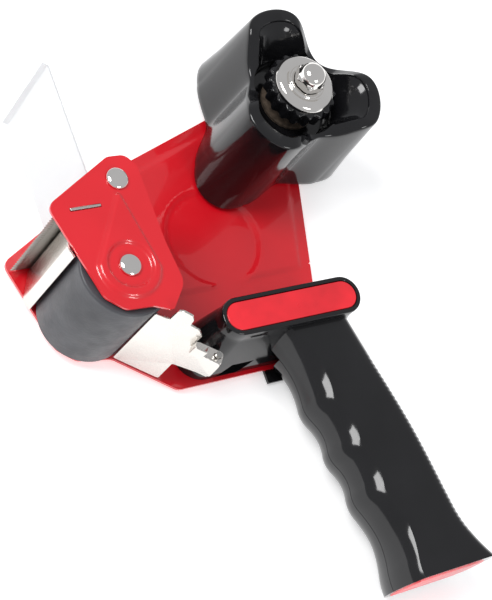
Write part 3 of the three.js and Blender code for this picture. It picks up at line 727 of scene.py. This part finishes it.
def build_hub():
    rim_lift = HUB_RIM - HUB_FLANK
    wall = 2.4
    fillet = 1.4
    crown = 5.0
    rings = [hub_ring(HUB_BOTTOM, HUB_FLARE - 0.4, HUB_WAIST + 0.7, crown)]
    side_low, side_high = HUB_BOTTOM + 0.5, HUB_FLANK - fillet
    for t in np.linspace(0, 1, 20):
        lift = rim_lift * float(smooth_step((t - 0.35) / 0.65))
        rings.append(hub_ring(side_low + t * (side_high - side_low),
                              HUB_FLARE + t * (HUB_RADIUS - HUB_FLARE), HUB_WAIST + 1 - t,
                              crown + t * (1.2 - crown), lift))
    for angle in np.linspace(0, math.pi / 2, 6)[1:]:
        rings.append(hub_ring(side_high + fillet * math.sin(angle), HUB_RADIUS, HUB_WAIST,
                              1.2, rim_lift, fillet * (1 - math.cos(angle))))
    for drop, inset in ((0, 5.8), (0.25, 6.1), (1.2, 6.3), (1.3, 6.7)):
        rings.append(hub_ring(HUB_FLANK - drop, HUB_RADIUS, HUB_WAIST, 1.2, rim_lift, inset))
    step, mouth = rings[-1], round_ring(HUB_FLANK - 4.6, WELL + 1.0)
    rings.extend(between_rings(step, mouth, share) for share in (0.25, 0.5, 0.75, 1.0))
    for z, radius in ((HUB_FLANK - 5.2, WELL + 0.3), (HUB_FLANK - 6, WELL),
                      (WELL_FLOOR + 0.6, WELL), (WELL_FLOOR, WELL - 0.6), (WELL_FLOOR, 6.8),
                      (HUB_BOTTOM, 6.8), (HUB_BOTTOM, 9.0), (WELL_FLOOR - 6, 9.0)):
        rings.append(round_ring(z, radius))
    rings.append(hub_ring(WELL_FLOOR - 6, HUB_RADIUS - wall, HUB_WAIST - wall))
    rings.append(hub_ring(HUB_BOTTOM, HUB_FLARE - wall - 1, HUB_WAIST - wall, crown))
    add_piece("tape_hub_moulded", *loft_parts(rings, closed=True), "black_plastic", "hub",
              ["tape_hub"], sharp=40)


# ------------------------------------------------------------ handle

GRIP_TOP, GRIP_BUTT = -88.0, -214.0
GRIP_HALF = 15.5
RIB_PITCH = 2.2
ARM_OPENING = (-86, -68, -112, -97, 20, 40)
BAR_SCREWS = [(-58, -94), (-14, -94)]
GRIP_SCREWS = [(-19, -124), (-13, -150), (-6, -192)]


# The fingers lie between ridges down the grip. The crease's ridges are a little further down.
FRONT_RIDGES = (-100, -133, -154, -174, -209)
CREASE_RIDGES = (-108, -133, -155, -176, -209)
FRONT_DEPTH, CREASE_DEPTH = 3.3, 3.2
RIDGE_ROUNDING = 3.5
FLARE_START = -190.0


def lean_at(y):
    """Share of the way down the grip, 0 at its top and 1 at its butt."""
    return (GRIP_TOP - y) / (GRIP_TOP - GRIP_BUTT)


def flare_at(y):
    """Share of the butt's flare, 0 above its start and 1 at the butt."""
    return max(0.0, (FLARE_START - y) / (FLARE_START - GRIP_BUTT))


def scoop(y, ridges):
    """0 at each ridge and 1 midway between two, where a finger lies."""
    for above, below in zip(ridges, ridges[1:]):
        if below <= y <= above:
            return math.sin(math.pi * (above - y) / (above - below))
    return 0.0


def front_edge(y):
    return (-42.6 + 19.4 * lean_at(y) + FRONT_DEPTH * scoop(y, FRONT_RIDGES)
            - 2.4 * flare_at(y) ** 1.5)


def crease_edge(y):
    neck = min(max(0.0, (y - CREASE_RIDGES[0] - 1) / 7), 1.0)
    return (-33.4 + 16.8 * lean_at(y) + CREASE_DEPTH * scoop(y, CREASE_RIDGES)
            - 3.0 * flare_at(y) - 4.5 * neck)


def eased_edge(edge, y):
    """An edge of the grip at one y, averaged over a short way so that its ridges are soft."""
    return float(np.mean([edge(y + RIDGE_ROUNDING * t) for t in np.linspace(-1, 1, 9)]))


def grip_lines(y):
    """Front, crease and back of the grip at one distance down it, and its half thickness."""
    lean, flare = lean_at(y), flare_at(y)
    bow = math.sin(math.pi * min(max(lean, 0.0), 1.0))
    back = -6.2 + 22.5 * lean ** 0.9 + 2.2 * bow ** 3 + 6 * flare ** 2
    half = GRIP_HALF - 1.2 * math.sin(math.pi * lean) + 0.8 * flare
    return eased_edge(front_edge, y), eased_edge(crease_edge, y), back, half


def grip_arc(y, inset=0.0, ribs=True):
    """Half of the grip's outline, from its front edge over its face to its back edge, as x
    and the height above the middle plane."""
    front, crease, back, half = grip_lines(y)
    front, back, half = front + inset, back - inset, half - inset
    bend = math.radians(68)
    arc = []
    for k in range(15):
        a = bend * k / 14
        x = front + (crease - front) * (1 - math.cos(a)) / (1 - math.cos(bend))
        arc.append((x, half * math.sin(a) / math.sin(bend)))
    rounding = min(8.5, 0.45 * (back - crease))
    for k in range(1, 7):
        arc.append((crease + (back - rounding - crease) * k / 7, half))
    for k in range(19):
        a = math.pi / 2 * k / 18
        x = back - rounding + rounding * math.sin(a) ** 0.9
        z = half * math.cos(a) ** 0.62 if k < 18 else 0.0
        if ribs and -203 < y < -114:
            fade = smooth_step((y + 203) / 6) * smooth_step((-114 - y) / 8)
            zone = smooth_step((k - 2) / 4)
            x -= 0.32 * fade * zone * (0.5 + 0.5 * math.cos(2 * math.pi * y / RIB_PITCH))
        arc.append((x, z))
    return arc


def grip_half(sign, top, butt, step, inset=0.0, gap=0.15):
    """Closed solid of one half of the grip, above (+1) or below (-1) its middle plane."""
    rings = []
    for y in np.linspace(top, butt, int(abs(top - butt) / step) + 1):
        arc = grip_arc(y, inset)
        ring = [(x, y, GRIP_MIDDLE + sign * max(z, gap)) for x, z in arc]
        rings.append(ring)
    return loft_parts(rings)


def stadium_ring(x0, x1, y0, y1, z, inset=0.0, steps=20):
    radius = (y1 - y0) / 2 - inset
    middle = (y0 + y1) / 2
    ring = []
    for end, start in ((x1 - inset - radius, -90), (x0 + inset + radius, 90)):
        for k in range(steps + 1):
            a = math.radians(start + 180 * k / steps)
            ring.append((end + radius * math.cos(a), middle + radius * math.sin(a), z))
    return ring


def bar_parts():
    """The bar that carries the panel: a nose that swells to its foot and a rounded rim."""
    top = BAR_EDGES
    foot = (-77.5, 0.6, -104.5, -81.6)
    base = FRAME_TOP + 0.3
    rings = []
    for z in np.linspace(base, 35.5, 24):
        t = float(np.clip((z - base) / (33 - base), 0, 1))
        share = 1 - t ** 1.4
        edges = [a + (b - a) * share for a, b in zip(top, foot)]
        rings.append(stadium_ring(*edges, z))
    rim = BAR_TOP
    for a in np.linspace(0, math.pi / 2, 6):
        rings.append(stadium_ring(*top, rim - 0.8 + 0.8 * math.sin(a), 0.8 * (1 - math.cos(a))))
    for a in np.linspace(0, math.pi / 2, 4):
        rings.append(stadium_ring(*top, rim - 0.3 + 0.3 * math.cos(a),
                                  1.6 + 0.3 * math.sin(a)))
    rings.append(stadium_ring(*top, rim - 1.6, 1.9))
    return loft_parts(rings)


def build_handle():
    near = add_piece("near_handle_moulded", *bar_parts(), "black_plastic", "frame",
                     ["near_handle_shell"], sharp=30)
    cut_or_join(near, grip_half(1, -92, GRIP_BUTT, 0.4), "UNION")
    cut_or_join(near, box_parts(*ARM_OPENING), "DIFFERENCE")
    slot = [(-62, 4.8), (-51, 4.8), (-46, 13.4), (-57, 13.4)]
    cut_or_join(near, loft_parts([[(x, y, z) for x, z in slot] for y in (-110, -98)]),
                "DIFFERENCE")
    far = add_piece("far_handle_moulded", *grip_half(-1, -107.4, GRIP_BUTT, 0.4),
                    "black_plastic", "frame", ["far_handle_shell"], sharp=30)
    pad = loft_parts([stadium_ring(-73, -2, -104, -83, z, inset)
                      for z, inset in ((0, 0.8), (0.25, 0.25), (0.8, 0), (2.3, 0))])
    cut_or_join(far, pad, "UNION")
    cut_or_join(far, box_parts(-36, -9, -112, -98, 0.8, 2.3), "UNION")
    for places, depth in ((BAR_SCREWS, 1.5), (GRIP_SCREWS, 7.5)):
        for x, y in places:
            recess = turned_parts([(0, -1), (3.3, -1), (3.3, depth), (0, depth)], x, y, 32)
            cut_or_join(far, recess, "DIFFERENCE")

    top = BAR_EDGES
    panel = [stadium_ring(*top, BAR_TOP - 1.3, 2.2), stadium_ring(*top, BAR_TOP - 0.6, 2.2)]
    for a in np.linspace(0, math.pi / 2, 5)[1:]:
        panel.append(stadium_ring(*top, BAR_TOP - 0.6 + 0.4 * math.sin(a),
                                  2.6 - 0.4 * math.cos(a)))
    panel.append(stadium_ring(*top, BAR_TOP - 0.15, 4.5))
    add_piece("inlay_panel_domed", *loft_parts(panel), "red_plastic", "frame", ["inlay_panel"])

    def plug_ring(y, inset):
        arc = grip_arc(y, inset, ribs=False)
        near_side = [(x, y, GRIP_MIDDLE + z) for x, z in arc]
        far_side = [(x, y, GRIP_MIDDLE - z) for x, z in arc[-2:0:-1]]
        return near_side + far_side

    def at_depth(y, shift, inset):
        return [(px, py + shift, pz) for px, py, pz in plug_ring(y, inset)]

    butt = GRIP_BUTT
    plug = [plug_ring(butt + 9, 3.4), plug_ring(butt + 0.8, 3.4),
            at_depth(butt + 0.4, -0.4, 3.6), at_depth(butt + 0.4, -0.9, 4.4),
            at_depth(butt + 0.4, -1.0, 6.0)]
    add_piece("base_plug_domed", *loft_parts(plug), "red_plastic", "frame", ["base_insert"])


# ------------------------------------------------------------ brake and nut

def hex_ring(z, across_flats, rounding=0.0, count=72):
    """Hexagon with an optional trim of its corners towards a circle."""
    ring = []
    for k in range(count):
        a = 2 * math.pi * k / count
        side = (a + math.pi / 6) % (math.pi / 3) - math.pi / 6
        r = across_flats / 2 / math.cos(side)
        if rounding:
            r = min(r, rounding)
        turn = a + math.pi / 6
        ring.append((r * math.cos(turn), r * math.sin(turn), z))
    return ring


GUIDE_START = (-105.8, -86.7)
GUIDE_ANGLE = math.atan2(-0.6, 0.8)


def build_springs():
    low, high = span("brake_spring")
    wire = 0.65
    radius = (high.x - low.x) / 2 - wire
    coil = add_piece("brake_spring_coil", *wire_parts(
        coil_path(0, 0, radius, low.z + wire, high.z - wire, 2.0), wire), "spring_steel",
        "frame", ["brake_spring"], sharp=60)
    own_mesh(coil)
    low, high = span("guide_spring")
    middle = centre("guide_spring")
    wire = 0.5
    radius = (high.x - low.x) / 2 - wire
    turns = (high.z - low.z) / (2.1 * wire) - 2
    add_piece("guide_spring_coil", *wire_parts(
        coil_path(middle.x, middle.y, radius, low.z + wire, high.z - wire, turns), wire),
        "spring_steel", "frame", ["guide_spring"], sharp=60)


def on_guide(parts):
    """Points drawn as distance along the guide's slope, across it and up, put in place."""
    points, faces = parts
    along, across = math.cos(GUIDE_ANGLE), math.sin(GUIDE_ANGLE)
    placed = [(GUIDE_START[0] + s * along - n * across,
               GUIDE_START[1] + s * across + n * along, z) for s, n, z in points]
    return placed, faces


def build_guide():
    """Bent plate under the roller with an upright tab, ears on its arm and a folded strap."""
    foot = [(0.5, 7, 1.2), (21.5, 6.5, 1.2), (21, 22.5, 1)]
    arm = [(37, 25, 1.5), (36.5, 35, 1.5), (36, 37.5, 1), (23, 38.5, 0.8), (21, 44, 1)]
    shoulder = [(21, 52, 1.5), (18.5, 55, 1), (14, 56, 0.8)]
    tab = [(13.5, 60.5, 1), (12, 63, 1.5), (8, 63.5, 1.5), (6, 62, 1)]
    corner = [(6, 53.5, 0.8), (0, 53, 1)]
    outline = ease([*foot, *arm, *shoulder, *tab, *corner], 1, 5, True)
    sheet = loft_parts([[(s, n, z) for s, z in outline] for n in (-0.5, 0.5)])
    plate = add_piece("guide_plate_bent", *on_guide(sheet), "nickel", "guide", ["guide_plate"],
                      edge=0.15)
    pivot = span("guide_pin")[1].x - span("guide_pin")[0].x
    for z in (22.6, 36.4):
        ear_line = ease([(24, 0.4, 0), (24, 5.4, 1.6), (36.4, 5.4, 1.6), (36.4, 0.4, 0)],
                        1, 4, True)
        ear = loft_parts([[(s, n, level) for s, n in ear_line] for level in (z, z + 1)])
        cut_or_join(plate, on_guide(ear), "UNION")
    hole = turned_parts([(0, 20), (pivot / 2 + 0.3, 20), (pivot / 2 + 0.3, 40), (0, 40)],
                        34, 3, 24)
    cut_or_join(plate, on_guide(hole), "DIFFERENCE")
    strap = strip_parts(ease([(21.2, -0.9), (21.2, -3.6), (26.4, -3.6), (26.4, -0.9)], 1, 4),
                        0.7, 41.2, 47.8)
    add_piece("guide_strap_folded", *on_guide(strap), "nickel", "guide", edge=0.12)


def build_brake():
    low, high = span("brake_knob")[0].z, span("brake_knob")[1].z
    outer = 15.4

    def ribs(angle, r, z):
        if r < outer - 1.2:
            return 0
        return 0.75 * math.cos(18 * angle) * float(smooth_step((r - outer + 1.2) / 1.0))

    knob = ease([(4.3, low), (outer, low, 1.0), (outer, high, 1.4), (11, high + 0.1), (4.3, high)],
                0.3, 5, True)
    add_piece("brake_knob_ribbed", *turned_parts(knob, 0, 0, 216, ribs), "black_plastic",
              "knob", ["brake_knob"], sharp=50)

    base = span("dome_washer")[0].z
    washer = ease([
        (4.3, base), (13.4, base, 0.3), (14, base + 0.8, 0.5), (12.8, base + 2.6, 2.2),
        (9.8, base + 3.1, 1.6), (8.4, base + 2.4, 0.8), (7.9, base + 3.4, 0.4),
        (6.5, base + 3.4, 0.5), (4.3, base + 2.9),
    ], 0.3, 7, True)
    add_piece("dome_washer_pressed", *turned_parts(washer, 0, 0, 96), "chrome", "knob",
              ["dome_washer"], sharp=50)

    base, top = span("cap_nut")[0].z, span("cap_nut")[1].z
    flats = 12.5
    corner = flats / 2 / math.cos(math.pi / 6)
    rings = [hex_ring(base, flats, corner - 0.7), hex_ring(base + 0.5, flats),
             hex_ring(base + 2.9, flats), hex_ring(base + 3.5, flats, corner - 0.5),
             hex_ring(base + 3.8, flats, flats / 2 + 0.1)]
    for a in np.linspace(0.08, math.pi / 2, 16):
        r = 6.0 * math.cos(a) ** 0.85
        rings.append([(r * math.cos(math.pi / 6 + 2 * math.pi * k / 72),
                       r * math.sin(math.pi / 6 + 2 * math.pi * k / 72),
                       base + 4.0 + (top - base - 4.0) * math.sin(a)) for k in range(72)])
    add_piece("cap_nut_acorn", *loft_parts(rings), "chrome", "knob", ["cap_nut"], sharp=30)


# ------------------------------------------------------------ camera, light and floor

# Millimetres round the hub's axis, and degrees.
CAMERA = {"target": (-49.75, -81.73, 30), "distance": 708.64, "azimuth": -64.566,
          "elevation": 54.396, "roll": 48.124, "lens": 101.79}


def build_camera():
    azimuth = math.radians(CAMERA["azimuth"])
    elevation = math.radians(CAMERA["elevation"])
    roll = math.radians(CAMERA["roll"])
    back = Vector((math.sin(azimuth) * math.cos(elevation),
                   -math.cos(azimuth) * math.cos(elevation), math.sin(elevation)))
    level = Vector((0, 0, 1)).cross(back).normalized()
    upright = back.cross(level)
    right = math.cos(roll) * level + math.sin(roll) * upright
    up = back.cross(right)
    target = Vector(CAMERA["target"]) * MM + Vector((AXIS.x, AXIS.y, 0))
    eye = target + back * CAMERA["distance"] * MM
    data = bpy.data.cameras.new("camera")
    data.lens = CAMERA["lens"]
    data.sensor_width = 36
    data.clip_start = 0.01
    camera = bpy.data.objects.new("camera", data)
    axes = Matrix((right, up, back)).transposed().to_4x4()
    camera.matrix_world = Matrix.Translation(eye) @ axes
    bpy.context.scene.collection.objects.link(camera)
    bpy.context.scene.camera = camera


def area_light(name, place, aim, size, power, color=(1, 1, 1)):
    data = bpy.data.lights.new(name, "AREA")
    data.shape = "RECTANGLE"
    data.size, data.size_y = size
    data.energy = power
    data.color = color
    light = bpy.data.objects.new(name, data)
    light.location = place
    direction = Vector(aim) - Vector(place)
    light.rotation_euler = direction.to_track_quat("-Z", "Y").to_euler()
    bpy.context.scene.collection.objects.link(light)


def build_studio():
    material, _, shader = node_material("floor_white", (0.93, 0.93, 0.93), 0, 0.9)
    shader.inputs["Specular IOR Level"].default_value = 0.1
    shader.inputs["Emission Color"].default_value = (1, 1, 1, 1)
    shader.inputs["Emission Strength"].default_value = 0.42
    mesh = bpy.data.meshes.new("floor")
    half = 3.0
    mesh.from_pydata([(-half, -half, 0), (half, -half, 0), (half, half, 0), (-half, half, 0)],
                     [], [[0, 1, 2, 3]])
    mesh.materials.append(material)
    floor = bpy.data.objects.new("floor", mesh)
    floor.location.z = -0.0002
    bpy.context.scene.collection.objects.link(floor)
    area_light("key", (-0.9, 0.5, 1.3), (0, 0, 0), (0.7, 0.7), 17)
    area_light("fill", (0.2, -1.2, 0.9), (0, 0, 0), (0.5, 0.4), 5)
    world = bpy.data.worlds.new("studio")
    world.use_nodes = True
    world.node_tree.nodes["Background"].inputs["Color"].default_value = (0.96, 0.97, 1, 1)
    world.node_tree.nodes["Background"].inputs["Strength"].default_value = 0.5
    bpy.context.scene.world = world
    bpy.context.scene.view_settings.view_transform = "Standard"


# ------------------------------------------------------------ the scene

build_camera()
build_studio()
build_plates()
build_roller()
build_cutter()
build_flap()
build_small_rivets()
build_hub()
build_handle()
build_springs()
build_guide()
build_brake()

bpy.context.view_layer.update()
